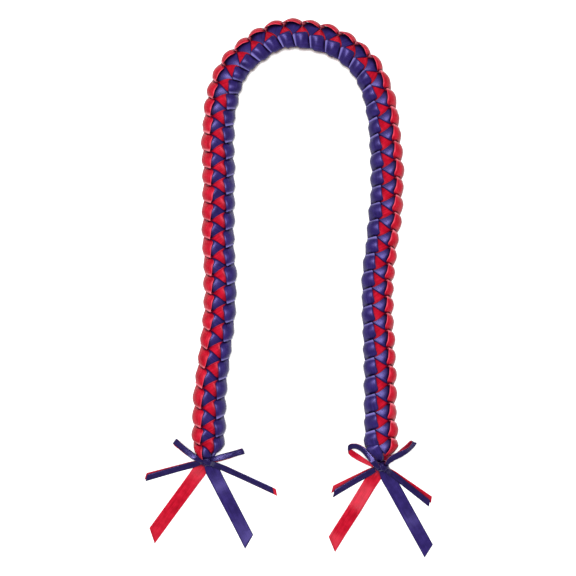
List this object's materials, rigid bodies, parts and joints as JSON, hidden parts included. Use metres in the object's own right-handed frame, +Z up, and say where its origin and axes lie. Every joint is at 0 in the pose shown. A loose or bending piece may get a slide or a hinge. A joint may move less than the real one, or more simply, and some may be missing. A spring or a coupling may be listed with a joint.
{
  "type": "braided ribbon graduation cord",
  "caption": "Two-colour satin ribbon cord in an open U, braided as a chain of interlocked loops, each end gathered by a knotted bow with slant-cut ribbon ends.",
  "frame": {"origin": "on the surface the cord lies on, under the middle of its outline", "axes": "+Z up off the surface, +Y from the two tied ends towards the arch of the U, +X towards the end with the open red-backed loop"},
  "size_m": [0.3371, 0.6292, 0.0264],
  "materials": {
    "red_satin": "red satin ribbon, soft lengthwise sheen",
    "purple_satin": "deep blue-purple satin ribbon, soft lengthwise sheen"
  },
  "bodies": {
    "root": {"red_braid_ribbon": "red_satin", "purple_braid_ribbon": "purple_satin", "left_knot": "purple_satin", "left_red_tail": "red_satin", "left_purple_tail": "purple_satin", "left_purple_bow_end_1": "purple_satin", "left_red_bow_end_1": "red_satin", "left_purple_bow_end_2": "purple_satin", "left_red_bow_end_2": "red_satin", "left_purple_loop_1": "purple_satin", "left_red_loop_1": "red_satin", "left_purple_loop_2": "purple_satin", "left_red_loop_2": "red_satin", "right_knot": "purple_satin", "right_red_tail": "red_satin", "right_purple_tail": "purple_satin", "right_purple_bow_end_1": "purple_satin", "right_red_bow_end_1": "red_satin", "right_purple_bow_end_2": "purple_satin", "right_red_bow_end_2": "red_satin", "right_purple_loop_1": "purple_satin", "right_red_loop_1": "red_satin", "right_purple_loop_2": "purple_satin", "right_red_loop_2": "red_satin"}
  },
  "joints": []
}
